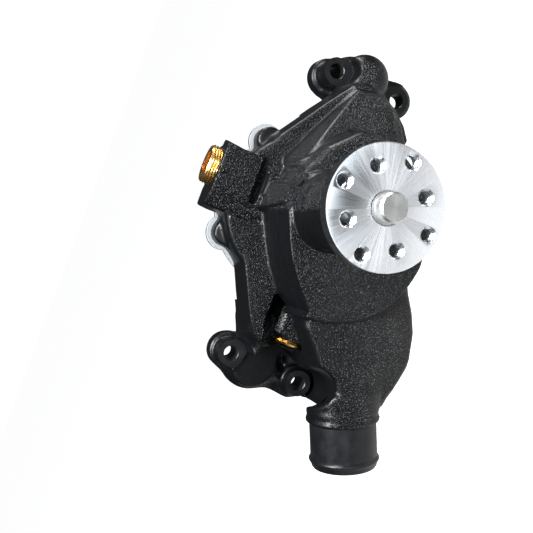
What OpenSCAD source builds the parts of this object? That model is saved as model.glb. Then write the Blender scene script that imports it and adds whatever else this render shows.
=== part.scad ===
// Long-style coolant pump for a V8 engine block: cast housing, shaft cartridge and closing parts.
// +X is the driver side, +Z is up, and the pulley hub faces -Y.
// The origin is where the shaft axis meets the block face, which is the plane Y = 0.

/* [Hub and shaft] */
// Distance from the block face to the front of the hub
hub_height = 176.2; // [172:0.1:180]
// Diameter of the pulley hub disc
hub_d = 66.8; // [62:0.1:80]
// Thickness of the pulley hub disc
hub_t = 8.4; // [7:0.1:10]
// Diameter of the shaft tip that centres the pulley and fan
tip_d = 15.875; // [15.875, 19.05]
// How far the shaft tip stands out of the hub
tip_out = 9; // [5:0.5:12]
// Bolt circle of the inner four hub holes
hub_inner_circle = 44.45; // [40:0.01:46]
// Bolt circle of the outer four hub holes
hub_outer_circle = 53.98; // [50:0.01:56]
// Tapping diameter of the hub holes
hub_hole_d = 6.9; // [6:0.1:8]
// Diameter of the shaft between the bearing and the impeller
rear_shaft_d = 15; // [14:0.1:15.4]

/* [Block mounting] */
// Half the distance between the upper block bolts
upper_bolt_x = 107; // [104:1:110]
// Height of the upper block bolts above the shaft
upper_bolt_z = 5; // [3:1:8]
// Half the distance between the lower block bolts
lower_bolt_x = 112; // [109:1:114]
// Height of the lower block bolts, below the shaft
lower_bolt_z = -51; // [-54:1:-49]
// Diameter of the block bolt holes
block_hole_d = 10.3; // [9.8:0.1:11]
// Diameter of the two coolant outlets to the block
outlet_d = 24; // [20:1:25]
// Thickness of the foot flanges
foot_t = 9; // [8:0.5:12]

/* [Hose neck] */
// Outside diameter of the hose neck
neck_d = 44.45; // [44:0.01:46]
// Bore of the hose neck
neck_bore_d = 37; // [34:0.5:38]
// Angle of the hose neck below the horizontal
neck_angle = 24; // [20:1:28]
// Distance of the neck axis from the block face
neck_f = 76; // [72:1:80]

/* [Impeller] */
// Diameter of the impeller
impeller_d = 84; // [76:1:86]
// Number of impeller vanes
vane_count = 6; // [5:1:8]

/* [Bearing] */
// Outside diameter of the bearing cartridge
bearing_d = 38.1; // [38.1, 40]
// Number of balls in the front row
ball_count = 8; // [6:1:9]
// Number of rollers in the rear row
roller_count = 12; // [10:1:14]

/* [Hidden] */
$fn = 64;
soft_fn = 32;
eps = 0.01;
fit_gap = 0.02;

// Gaskets and rear cover, stacked from the block side
gasket_t = 0.8;
cover_t = 2.5;
rear_face = 24;
cover_back = rear_face - gasket_t - cover_t;
cover_r = 55;
lobe_r = 12.5;
screw_spots = [[41, 35], [-29, 41], [-50, -18], [-20, -50], [26, -47], [51, -14]];
screw_d = 6.35;
screw_boss_h = 11;

// Coolant passages
port_drop = 19.7;
bypass_rise = 16;
bypass_d = 9;
bend_spot = [105, -20];
passenger_turn = [-93, -5];
cavity_r = 45;
cavity_top = 44;
eye_r = 26;
driver_passage_d = 18;
passenger_passage_d = 10;
passage_f = 28;
outlet_depth = 19;
bend_d = 16;
arm_back = 15;
arm_front = 42;
upper_boss_h = 26;
lower_boss_h = 11;
passenger_boss_h = 21.5;
boss_r = 9.8;
socket_r = 10.8;

// Inlet chamber and bearing snout
chamber_r = 69;
chamber_front = 98;
snout_foot = 110;
snout_r = 22.5;
snout_front = 151;
neck_start = [-85, -51.7];
neck_len = 69.5;
collar_at = 30;

// Plugs with 3/4 inch tapered pipe thread
plug_d = 26.7;
plug_len = 16;
heater_x = 8.5;
heater_f = 39;
heater_top = 66;
bypass_x = -82;
bypass_z = -26;
bypass_f = 30;

// Bearing rows, measured from the block face
race_back = 104;
race_front = 149;
raceway_d = 19.05;
pitch_r = 13.6;
ball_d = 7.6;
ball_f = 138;
roller_len = 14;
roller_f = 117;
race_r = pitch_r + ball_d / 2;
groove_gap = 0.15;
cage_t = 2;
// Rollers sit between the plain shaft and the outer race with running clearance
roller_fit_d = 2 * (pitch_r - raceway_d / 2) - 2 * groove_gap;
roller_fit_count = min(roller_count, floor(PI * 2 * pitch_r / (roller_fit_d + 0.6)));

// Height of the impeller's vanes, which run close to the cavity's front wall
vane_h = cavity_top - 34;

// Face seal behind the bearing
seal_back = 68;
seal_tube_back = 66;
cup_r = 17;
seat_r = 15;

// Everything is drawn looking along the shaft: x across, y up, z away from the block.
module pump_frame() {
    rotate([90, 0, 0])
        children();
}

// The hub is pressed onto a seat one step larger than the tip
hub_seat_r = tip_d / 2 + 0.6;
// Hub holes are turned this far from the driver side
hub_hole_turn = 35.5;

module ring(r_out, r_in, from, to) {
    translate([0, 0, from])
        difference() {
            cylinder(h = to - from, r = r_out);
            translate([0, 0, -eps])
                cylinder(h = to - from + 2 * eps, r = r_in);
        }
}

module around(count, radius) {
    for (i = [0 : count - 1])
        rotate(i * 360 / count)
            translate([radius, 0, 0])
                children();
}

// Point on the line between the two bolts of a foot, a distance from one of them
bolt_gap = norm([lower_bolt_x - upper_bolt_x, lower_bolt_z - upper_bolt_z]);
function foot_point(s, along) = let (k = along / bolt_gap)
    [s * (upper_bolt_x + k * (lower_bolt_x - upper_bolt_x)), upper_bolt_z + k * (lower_bolt_z - upper_bolt_z)];
function port_spot(s) = foot_point(s, port_drop);
function bypass_spot(s) = foot_point(s, bolt_gap - bypass_rise);

module at_bolts(s) {
    translate([s * upper_bolt_x, upper_bolt_z, 0])
        children(0);
    translate([s * lower_bolt_x, lower_bolt_z, 0])
        children($children - 1);
}

module foot_outline(s, end_r, port_r) {
    hull() {
        at_bolts(s)
            circle(r = end_r, $fn = soft_fn);
        translate(port_spot(s))
            circle(r = port_r, $fn = soft_fn);
    }
}

module driver_arm_outline() {
    polygon([[14, 46], [47, 29], [84, 8], [98, -1], [122, -12], [120, -34], [108, -56], [82, -60], [46, -48], [0, -20]]);
}

module passenger_arm_outline() {
    polygon([[0, 20], [-17, 40], [-43, 31], [-81, 10], [-100, 0], [-120, -10], [-92, -12], [-82, -12], [-76, -40],
        [-60, -44]]);
}

// Outline of the inlet chamber, cut off along the valley beside the passenger arm
module chamber_outline() {
    polygon([[-9, 27], [-35, 15], [-61, -7], [-90, -40], [-60, -90], [60, -90], [64, -20], [36, 6], [12, 27]]);
}

module on_neck_axis(from) {
    translate([neck_start[0], neck_start[1], neck_f])
        rotate([0, 0, neck_angle])
            rotate([0, -90, 0])
                translate([0, 0, from])
                    children();
}

// Neck and its root, with the collar turned in one profile
module neck_outside() {
    neck_r = neck_d / 2;
    collar_r = neck_r + 2.4;
    hull() {
        for (bulb = [[-46, -50], [-72, -55]])
            translate([bulb[0], bulb[1], 64])
                sphere(r = 34, $fn = soft_fn);
        on_neck_axis(collar_at - 12)
            cylinder(h = 6, r = neck_r + 1, $fn = soft_fn);
    }
    on_neck_axis(0)
        rotate_extrude()
            polygon([[0, 0], [collar_r, 0], [collar_r, collar_at + 8], [neck_r, collar_at + 9],
                [neck_r, neck_len - 1], [neck_r - 1, neck_len], [0, neck_len]]);
}

module feet_outside() {
    for (s = [-1, 1])
        linear_extrude(foot_t)
            foot_outline(s, 13.5, 22);
    for (s = [-1, 1])
        translate(port_spot(s))
            rotate_extrude()
                polygon([[0, 0], [18, 0], [18, 36], [11, 41], [0, 41]]);
    at_bolts(1) {
        cylinder(h = upper_boss_h, r = boss_r);
        cylinder(h = lower_boss_h, r = boss_r);
    }
    at_bolts(-1)
        cylinder(h = passenger_boss_h, r = boss_r);
}

module arms_outside() {
    difference() {
        union() {
            translate([0, 0, arm_back])
                linear_extrude(arm_front - arm_back)
                    driver_arm_outline();
            translate([0, 0, arm_back])
                linear_extrude(arm_front - arm_back)
                    passenger_arm_outline();
        }
        // Room for a socket around each bolt
        translate([upper_bolt_x, upper_bolt_z, upper_boss_h])
            cylinder(h = 40, r = socket_r);
        translate([lower_bolt_x, lower_bolt_z, lower_boss_h])
            cylinder(h = 40, r = socket_r);
        at_bolts(-1)
            translate([0, 0, passenger_boss_h])
                cylinder(h = 40, r = socket_r);
    }
}

module body_outside() {
    translate([0, 0, rear_face])
        cylinder(h = 27, r = cover_r);
    for (p = screw_spots)
        translate([p[0], p[1], rear_face])
            cylinder(h = screw_boss_h, r = 9);
    intersection() {
        rotate_extrude()
            polygon([[0, 40], [chamber_r, 40], [chamber_r, chamber_front - 4], [chamber_r - 4, chamber_front],
                [snout_r + 2, snout_foot], [0, snout_foot]]);
        linear_extrude(snout_foot + 1)
            chamber_outline();
    }
    rotate_extrude()
        polygon([[0, 49], [46, 49], [35, 94], [34, 97], [snout_r, 101], [snout_r, snout_front - 1],
            [snout_r - 1, snout_front], [0, snout_front]]);
}

module heater_port_outside() {
    translate([heater_x - 15.5, 16, rear_face])
        cube([31, heater_top - 16, 31]);
    translate([heater_x - 9, 14, 40])
        cube([18, 20, 24]);
    translate([-10, 12, 50])
        cube([15, 18, 60]);
}

module bypass_port_outside() {
    translate([bypass_x, bypass_z, bypass_f])
        rotate([0, 90, 0])
            cylinder(h = 34, r1 = 16, r2 = 12);
}

// Straight passage between two points at the height of the cavity
module passage(from, to, d) {
    run = to - from;
    translate([from[0], from[1], passage_f])
        rotate([0, 0, atan2(run[1], run[0])])
            rotate([0, 90, 0])
                cylinder(h = norm(run), d = d);
}

module coolant_passages() {
    translate([0, 0, rear_face - eps])
        cylinder(h = cavity_top - rear_face, r = cavity_r);
    translate([0, 0, cavity_top - 1])
        cylinder(h = 12, r = eye_r);
    // Inlet chamber around the tube that holds the seal
    difference() {
        translate([-8, -18, 54])
            cylinder(h = 36, r = 38);
        translate([0, 0, seal_tube_back])
            cylinder(h = 40, r = 21);
    }
    on_neck_axis(-30)
        cylinder(h = neck_len + 31, d = neck_bore_d);
    for (s = [-1, 1]) {
        translate(port_spot(s))
            translate([0, 0, -eps])
                cylinder(h = outlet_depth, d = outlet_d);
        translate([s * bend_spot[0], bend_spot[1], outlet_depth / 2])
            cylinder(h = passage_f - outlet_depth / 2, d = bend_d);
    }
    passage(bend_spot, [37, -4], driver_passage_d);
    passage([-bend_spot[0], bend_spot[1]], passenger_turn, passenger_passage_d);
    passage(passenger_turn, [-36, -1], passenger_passage_d);
    translate([passenger_turn[0], passenger_turn[1], passage_f])
        sphere(d = passenger_passage_d + 3);
    // Bypass feed from the passenger foot
    translate(bypass_spot(-1))
        translate([0, 0, -eps])
            cylinder(h = 18, d = bypass_d);
}

module housing() {
    color("dimgray")
        pump_frame()
            difference() {
                union() {
                    feet_outside();
                    arms_outside();
                    body_outside();
                    neck_outside();
                    heater_port_outside();
                    bypass_port_outside();
                }
                coolant_passages();
                // Room for the rear cover and its lobes
                translate([0, 0, -1])
                    cylinder(h = rear_face + 1, r = cover_r + lobe_r - 1);
                // Bore for the bearing cartridge, and for the seal behind it
                translate([0, 0, race_back])
                    cylinder(h = 60, d = bearing_d + 2 * fit_gap);
                translate([0, 0, 60])
                    cylinder(h = 60, r = 13);
                translate([0, 0, 60])
                    cylinder(h = 20 + fit_gap, r = cup_r + fit_gap);
                // Block bolt holes
                for (s = [-1, 1])
                    at_bolts(s)
                        translate([0, 0, -eps])
                            cylinder(h = 60, d = block_hole_d);
                // Cover screw holes
                for (p = screw_spots)
                    translate([p[0], p[1], rear_face - eps])
                        cylinder(h = 9, d = screw_d + 2 * fit_gap);
                // Plug ports
                translate([heater_x, heater_top + eps, heater_f])
                    rotate([90, 0, 0])
                        cylinder(h = 24, d = plug_d + 2 * fit_gap);
                translate([bypass_x - eps, bypass_z, bypass_f])
                    rotate([0, 90, 0])
                        cylinder(h = 14, d = plug_d + 2 * fit_gap);
                // Weep hole between the seal and the bearing
                translate([9, 8, 100])
                    rotate([-90, 0, 0])
                        cylinder(h = 40, d = 5);
            }
}

module cover_outline(grow) {
    circle(r = cover_r + grow);
    for (p = screw_spots)
        translate(p)
            circle(r = lobe_r + grow);
}

module rear_cover() {
    color("silver")
        pump_frame()
            translate([0, 0, cover_back])
                difference() {
                    union() {
                        linear_extrude(cover_t)
                            cover_outline(0);
                        // Pressed dome that clears the impeller nut face
                        translate([0, 0, -2])
                            cylinder(h = 2 + eps, r1 = 36, r2 = 40);
                    }
                    translate([0, 0, -2 + cover_t])
                        cylinder(h = 2 + eps, r1 = 34, r2 = 38);
                    for (p = screw_spots)
                        translate([p[0], p[1], -eps])
                            cylinder(h = cover_t + 1, d = screw_d + 0.5);
                }
}

module cover_gasket() {
    color("gainsboro")
        pump_frame()
            translate([0, 0, rear_face - gasket_t])
                linear_extrude(gasket_t)
                    difference() {
                        cover_outline(-0.5);
                        circle(r = cavity_r);
                        for (p = screw_spots)
                            translate(p)
                                circle(d = screw_d + 0.5);
                    }
}

module cover_screws() {
    color("lightgray")
        pump_frame()
            for (p = screw_spots)
                translate([p[0], p[1], 0]) {
                    translate([0, 0, cover_back - 4])
                        cylinder(h = 4, d = 11, $fn = 6);
                    translate([0, 0, cover_back - eps])
                        cylinder(h = rear_face - cover_back + 8, d = screw_d);
                }
}

// Square-socket pipe plug, mouth at z = 0 and pointing along +z
module pipe_plug(out) {
    difference() {
        translate([0, 0, -plug_len + out])
            cylinder(h = plug_len, d = plug_d);
        translate([0, 0, out - 8])
            linear_extrude(9)
                square(12.7, center = true);
    }
}

module heater_port_plug() {
    color("goldenrod")
        pump_frame()
            translate([heater_x, heater_top, heater_f])
                rotate([-90, 0, 0])
                    pipe_plug(6.5);
}

module bypass_port_plug() {
    color("goldenrod")
        pump_frame()
            translate([bypass_x, bypass_z, bypass_f])
                rotate([0, -90, 0])
                    pipe_plug(5.5);
}

// Paper gasket with two bolt holes, the coolant port and the small bypass hole
module block_gasket(s) {
    pump_frame()
        translate([0, 0, -gasket_t])
            difference() {
                linear_extrude(gasket_t)
                    foot_outline(s, 8.6, 18.5);
                at_bolts(s)
                    translate([0, 0, -1])
                        cylinder(h = 3, d = block_hole_d);
                translate(port_spot(s))
                    translate([0, 0, -1])
                        cylinder(h = 3, d = outlet_d);
                translate(bypass_spot(s))
                    translate([0, 0, -1])
                        cylinder(h = 3, d = bypass_d + 0.6);
            }
}

module driver_block_gasket() {
    color("slategray")
        block_gasket(1);
}

module passenger_block_gasket() {
    color("slategray")
        block_gasket(-1);
}

// Stepped shaft with a ball groove ground into it
module pump_shaft() {
    tip_end = hub_height + tip_out;
    rear_r = rear_shaft_d / 2;
    race_r_in = raceway_d / 2;
    color("lightsteelblue")
        pump_frame()
            difference() {
                rotate_extrude()
                    polygon([[0, 30], [rear_r - 1, 30], [rear_r, 31], [rear_r, race_back], [race_r_in, race_back + 1],
                        [race_r_in, race_front + 2], [hub_seat_r, race_front + 3], [hub_seat_r, hub_height],
                        [tip_d / 2, hub_height], [tip_d / 2, tip_end - 1], [tip_d / 2 - 1, tip_end], [0, tip_end]]);
                translate([0, 0, ball_f])
                    rotate_extrude()
                        translate([pitch_r, 0])
                            circle(d = ball_d + 2 * groove_gap, $fn = soft_fn);
            }
}

module pulley_hub() {
    hub_back = hub_height - hub_t;
    color("whitesmoke")
        pump_frame()
            difference() {
                union() {
                    ring(hub_d / 2, hub_seat_r + fit_gap / 2, hub_back, hub_height);
                    ring(17, hub_seat_r + fit_gap / 2, race_front + 5, hub_back + eps);
                }
                for (circle_d = [hub_inner_circle, hub_outer_circle])
                    rotate(circle_d == hub_inner_circle ? hub_hole_turn : hub_hole_turn + 45)
                        around(4, circle_d / 2)
                            translate([0, 0, hub_back - 1])
                                cylinder(h = hub_t + 2, d = hub_hole_d);
            }
}

module bearing_outer_race() {
    color("steelblue")
        pump_frame()
            difference() {
                ring(bearing_d / 2, race_r + groove_gap - 0.8, race_back, race_front);
                translate([0, 0, roller_f - roller_len / 2 - 1])
                    cylinder(h = roller_len + 2, r = race_r + groove_gap);
                translate([0, 0, ball_f])
                    rotate_extrude()
                        translate([pitch_r, 0])
                            circle(d = ball_d + 2 * groove_gap, $fn = soft_fn);
            }
}

module front_bearing_balls() {
    color("silver")
        pump_frame()
            translate([0, 0, ball_f])
                around(ball_count, pitch_r)
                    sphere(d = ball_d);
}

module cage(count, length, middle) {
    difference() {
        ring(pitch_r + cage_t / 2, pitch_r - cage_t / 2, middle - length / 2, middle + length / 2);
        translate([0, 0, middle])
            around(count, pitch_r)
                children();
    }
}

module front_ball_cage() {
    color("peru")
        pump_frame()
            cage(ball_count, ball_d + 3, ball_f)
                rotate([0, 90, 0])
                    cylinder(h = 2 * cage_t, d = ball_d + 0.3, center = true);
}

module rear_bearing_rollers() {
    color("silver")
        pump_frame()
            translate([0, 0, roller_f - roller_len / 2])
                around(roller_fit_count, pitch_r)
                    cylinder(h = roller_len, d = roller_fit_d);
}

module rear_roller_cage() {
    color("peru")
        pump_frame()
            cage(roller_fit_count, roller_len + 3, roller_f)
                cylinder(h = roller_len + 0.3, d = roller_fit_d + 0.3, center = true);
}

module lip_seal(from, to) {
    ring(race_r + groove_gap - 0.85, raceway_d / 2 + 0.3, from, to);
}

module front_bearing_seal() {
    color("black")
        pump_frame()
            lip_seal(race_front - 3.5, race_front - 0.5);
}

module rear_bearing_seal() {
    color("black")
        pump_frame()
            lip_seal(race_back + 1.2, race_back + 3.2);
}

module slinger_ring() {
    color("darkslategray")
        pump_frame()
            ring(11.5, rear_shaft_d / 2 + fit_gap / 2, 90, 93);
}

module seal_cup() {
    color("gold")
        pump_frame() {
            ring(cup_r, cup_r - 1, seal_back, 80);
            ring(cup_r - 1 + eps, 10.5, 79, 80);
        }
}

module seal_bellows() {
    color("black")
        pump_frame()
            rotate_extrude()
                polygon([[9.6, 78.8], [15.6, 78.8], [15.6, 76.6], [11, 76.2], [11, 73.4], [12.6, 72.8], [12.6, 71.2],
                    [9.6, 71.2]]);
}

// Round wire wound into a helix: mean radius, wire radius, first and last height, turns
module coil(mean_r, wire_r, from, to, turns) {
    sides = 8;
    steps = 24 * turns;
    points = [for (i = [0 : steps], k = [0 : sides - 1])
        let (turn = 360 * turns * i / steps, around_wire = 360 * k / sides, r = mean_r + wire_r * cos(around_wire))
        [r * cos(turn), r * sin(turn), from + (to - from) * i / steps + wire_r * sin(around_wire)]];
    sleeve = [for (i = [0 : steps - 1], k = [0 : sides - 1])
        let (next = (k + 1) % sides)
        [i * sides + k, (i + 1) * sides + k, (i + 1) * sides + next, i * sides + next]];
    first = [for (k = [0 : sides - 1]) k];
    last = [for (k = [sides - 1 : -1 : 0]) steps * sides + k];
    polyhedron(points, concat(sleeve, [first, last]));
}

module seal_spring() {
    color("silver")
        pump_frame()
            coil(14.2, 0.55, 72.4, 75.9, 2.5);
}

module seal_face_ring() {
    color("dimgray")
        pump_frame()
            ring(12.4, 9.2, 67.7, 71.1);
}

module seal_seat() {
    color("ivory")
        pump_frame()
            ring(seat_r, 10, 61, 67.6);
}

module seal_seat_boot() {
    color("black")
        pump_frame() {
            ring(10 - fit_gap, rear_shaft_d / 2 + fit_gap, 60, 67.5);
        }
}

module vane() {
    linear_extrude(vane_h)
        intersection() {
            difference() {
                translate([26, -14])
                    circle(r = 30);
                translate([27.2, -16.8])
                    circle(r = 30);
            }
            difference() {
                circle(r = impeller_d / 2 - 1);
                circle(r = 12);
            }
        }
}

module impeller() {
    color("slategray")
        pump_frame() {
            difference() {
                union() {
                    translate([0, 0, 28.5])
                        cylinder(h = 3, d = impeller_d);
                    translate([0, 0, 30])
                        cylinder(h = 22, r = 14);
                }
                translate([0, 0, 20])
                    cylinder(h = 40, r = rear_shaft_d / 2 + fit_gap / 2);
            }
            translate([0, 0, 31.5 - eps])
                for (i = [0 : vane_count - 1])
                    rotate(i * 360 / vane_count)
                        vane();
        }
}

housing();
rear_cover();
cover_gasket();
cover_screws();
heater_port_plug();
bypass_port_plug();
driver_block_gasket();
passenger_block_gasket();
pump_shaft();
pulley_hub();
bearing_outer_race();
front_bearing_balls();
front_ball_cage();
rear_bearing_rollers();
rear_roller_cage();
front_bearing_seal();
rear_bearing_seal();
slinger_ring();
seal_cup();
seal_bellows();
seal_spring();
seal_face_ring();
seal_seat();
seal_seat_boot();
impeller();
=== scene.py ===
import math

import bmesh
import bpy
import numpy as np
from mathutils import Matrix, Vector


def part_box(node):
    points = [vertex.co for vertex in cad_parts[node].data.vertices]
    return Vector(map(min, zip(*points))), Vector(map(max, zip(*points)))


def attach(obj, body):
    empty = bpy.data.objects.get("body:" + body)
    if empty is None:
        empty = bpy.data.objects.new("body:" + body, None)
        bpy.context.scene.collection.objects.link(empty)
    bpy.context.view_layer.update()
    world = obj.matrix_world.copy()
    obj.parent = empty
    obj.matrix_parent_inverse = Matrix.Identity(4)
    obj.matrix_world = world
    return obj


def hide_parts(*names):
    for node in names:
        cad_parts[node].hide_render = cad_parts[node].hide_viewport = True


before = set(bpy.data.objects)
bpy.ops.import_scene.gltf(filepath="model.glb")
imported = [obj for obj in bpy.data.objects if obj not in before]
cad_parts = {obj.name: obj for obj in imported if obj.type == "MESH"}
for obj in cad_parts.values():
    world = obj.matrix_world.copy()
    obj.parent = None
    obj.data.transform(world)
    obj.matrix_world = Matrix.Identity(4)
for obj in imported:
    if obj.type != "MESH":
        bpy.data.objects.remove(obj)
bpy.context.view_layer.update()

import openvdb
from mathutils import Matrix, Vector

# Lengths are in millimetres in the pump's own directions, and become metres when a mesh is made:
# x towards the driver side, z up, and f forwards from the block face, which is the row frame's -Y.
MM = 0.001


def place(x, z, f):
    return Vector((x, -f, z)) * MM


def span(node, axis):
    """Lowest and highest value of a CAD node along x, z or f, in millimetres."""
    low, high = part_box(node)
    if axis == "f":
        return -high.y / MM, -low.y / MM
    return (low.x / MM, high.x / MM) if axis == "x" else (low.z / MM, high.z / MM)


# ---------------------------------------------------------------- dimensions taken from the frame
HOUSING_LOW = np.array([span("housing", a)[0] for a in "xzf"])
HOUSING_HIGH = np.array([span("housing", a)[1] for a in "xzf"])
HUB_BACK, HUB_FRONT = span("pulley_hub", "f")
HUB_R = span("pulley_hub", "x")[1]
REAR_FACE = span("cover_gasket", "f")[1]
COVER_T = 2.5
COVER_BACK_FACE = span("rear_cover", "f")[1] - COVER_T
HEATER_X = sum(span("heater_port_plug", "x")) / 2
HEATER_F = sum(span("heater_port_plug", "f")) / 2
HEATER_END = span("heater_port_plug", "z")[1]
BYPASS_Z = sum(span("bypass_port_plug", "z")) / 2
BYPASS_F = sum(span("bypass_port_plug", "f")) / 2
BYPASS_OUT = 5.5
BYPASS_FACE = span("bypass_port_plug", "x")[0] + BYPASS_OUT
PLUG_R = (span("heater_port_plug", "x")[1] - span("heater_port_plug", "x")[0]) / 2
RACE_R = span("bearing_outer_race", "x")[1]
RACE_BACK = span("bearing_outer_race", "f")[0]

# Block mounting, passages, neck and hub, close to the CAD source's values
UPPER_BOLT = (107, 5)
LOWER_BOLT = (112, -51)
BOLT_HOLE_R = 5.15
UPPER_DRIVER_BOSS = 26
LOWER_DRIVER_BOSS = 11
PASSENGER_BOSS = 21.5
BOSS_R = 9.8
FOOT_T = 9
OUTLET_R = 12
BYPASS_HOLE_R = 4.8
PORT_DEPTH = 14
SCREW_SPOTS = [(41, 35), (-29, 41), (-50, -18), (-20, -50), (26, -47), (51, -14)]
SCREW_R = 3.175
COVER_R = 55
LOBE_R = 12.5
CAVITY_R = 45
CAVITY_TOP = 44
EYE_R = 26
SEAL_BORE_R = 17.02
SHAFT_BORE_R = 13
SNOUT_R = 22.5
SNOUT_FRONT = HOUSING_HIGH[2]
NECK_START = (-85, -51.7)
NECK_ANGLE = math.radians(24)
NECK_WAY = (-math.cos(NECK_ANGLE), 0, -math.sin(NECK_ANGLE))
NECK_F = 76
NECK_LEN = 69.5
NECK_R = 22.225
NECK_BORE_R = 18.5
PASSAGE_R = 10.5
COLLAR_AT = 30
HEATER_TOP = HOUSING_HIGH[1]
HEATER_WAY = (0, 0, 1)
HEATER_DEPTH = 24
BYPASS_WAY = (-1, 0, 0)
BYPASS_DEPTH = 14
TIP_R = 7.9375
HUB_T = 8.4
HUB_NECK_R = 17
HUB_HOLE_R = 3.45
HUB_HOLE_TURN = 35.5
HUB_CIRCLES = ((22.225, HUB_HOLE_TURN), (26.99, HUB_HOLE_TURN + 45))
# Bolt bosses as (x, z, front)
BOSSES = [(*UPPER_BOLT, UPPER_DRIVER_BOSS), (*LOWER_BOLT, LOWER_DRIVER_BOSS),
    (-UPPER_BOLT[0], UPPER_BOLT[1], PASSENGER_BOSS), (-LOWER_BOLT[0], LOWER_BOLT[1], PASSENGER_BOSS)]
# Small gap that keeps a plug, screw or bearing off the wall of its bore
GAP = 0.02


def foot_point(side, along):
    """Point on the line from a foot's upper bolt to its lower bolt."""
    (xa, za), (xb, zb) = UPPER_BOLT, LOWER_BOLT
    k = along / math.hypot(xb - xa, zb - za)
    return side * (xa + k * (xb - xa)), za + k * (zb - za)


BOLT_GAP = math.hypot(LOWER_BOLT[0] - UPPER_BOLT[0], LOWER_BOLT[1] - UPPER_BOLT[1])
PORTS = {side: foot_point(side, 19.7) for side in (-1, 1)}
BYPASS_HOLES = {side: foot_point(side, BOLT_GAP - 16) for side in (-1, 1)}


# ---------------------------------------------------------------- distance shapes for the casting
def inside_outline(outline, x, z):
    """Signed distance to a closed outline in two directions, negative inside."""
    nearest = np.full(np.broadcast(x, z).shape, np.inf, np.float32)
    inside = np.zeros(nearest.shape, bool)
    for (ax, az), (bx, bz) in zip(outline, outline[1:] + outline[:1]):
        ex, ez = bx - ax, bz - az
        t = np.clip(((x - ax) * ex + (z - az) * ez) / max(ex * ex + ez * ez, 1e-9), 0, 1)
        nearest = np.minimum(nearest, (x - ax - t * ex) ** 2 + (z - az - t * ez) ** 2)
        if az != bz:
            inside ^= ((az > z) != (bz > z)) & (x < ex * (z - az) / ez + ax)
    return np.where(inside, -1, 1) * np.sqrt(nearest)


def both(u, v, r):
    """Where two distances are both inside, with an edge of radius r between them."""
    u, v = u + r, v + r
    return np.minimum(np.maximum(u, v), 0) + np.hypot(np.maximum(u, 0), np.maximum(v, 0)) - r


def plate(outline, back, front, edge=2.0, draft=0.0):
    """Extruded outline. back and front may be functions of x and z, and draft widens it towards the back."""
    xs, zs = zip(*outline)
    top = front if callable(front) else lambda x, z: front
    base = back if callable(back) else lambda x, z: back
    lowest = min(float(base(a, b)) for a, b in outline)
    highest = max(float(top(a, b)) for a, b in outline) + 3
    spread = draft * (highest - lowest) + 1

    def distance(x, z, f):
        flat = inside_outline(outline, x[:, :, 0], z[:, :, 0])[:, :, None]
        lid = top(x, z)
        wall = (flat - draft * (lid - f)) / math.hypot(1, draft)
        return both(wall, np.maximum(f - lid, base(x, z) - f), edge)

    low = (min(xs) - spread, min(zs) - spread, lowest)
    high = (max(xs) + spread, max(zs) + spread, highest)
    return distance, low, high


def drum(start, end, r_start, r_end=None, edge=1.5):
    """Straight or tapered round bar between two points, with rounded ends."""
    r_end = r_start if r_end is None else r_end
    a, b = np.array(start, float), np.array(end, float)
    length = np.linalg.norm(b - a)
    d = (b - a) / length
    slope = (r_end - r_start) / length

    def distance(x, z, f):
        px, pz, pf = x - a[0], z - a[1], f - a[2]
        along = px * d[0] + pz * d[1] + pf * d[2]
        away = np.sqrt(np.maximum(px * px + pz * pz + pf * pf - along * along, 0))
        wall = (away - r_start - slope * along) / math.hypot(1, slope)
        return both(wall, np.abs(along - length / 2) - length / 2, edge)

    reach = max(r_start, r_end)
    return distance, tuple(np.minimum(a, b) - reach), tuple(np.maximum(a, b) + reach)


def rod(start, end, r_start, r_end=None):
    """Bar with ball ends, for ribs and blends."""
    r_end = r_start if r_end is None else r_end
    a, b = np.array(start, float), np.array(end, float)
    d = b - a

    def distance(x, z, f):
        px, pz, pf = x - a[0], z - a[1], f - a[2]
        t = np.clip((px * d[0] + pz * d[1] + pf * d[2]) / (d @ d), 0, 1)
        gap = np.sqrt((px - t * d[0]) ** 2 + (pz - t * d[1]) ** 2 + (pf - t * d[2]) ** 2)
        return gap - r_start - t * (r_end - r_start)

    reach = max(r_start, r_end)
    return distance, tuple(np.minimum(a, b) - reach), tuple(np.maximum(a, b) + reach)


def block(low, high, edge=1.5):
    """Rectangular block with rounded edges."""
    low, high = np.array(low, float), np.array(high, float)
    middle, half = (low + high) / 2, (high - low) / 2

    def distance(x, z, f):
        qx, qz, qf = (np.abs(v - m) - h + edge for v, m, h in zip((x, z, f), middle, half))
        outside = np.sqrt(np.maximum(qx, 0) ** 2 + np.maximum(qz, 0) ** 2 + np.maximum(qf, 0) ** 2)
        return outside + np.minimum(np.maximum(np.maximum(qx, qz), qf), 0) - edge

    return distance, tuple(low), tuple(high)


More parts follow.
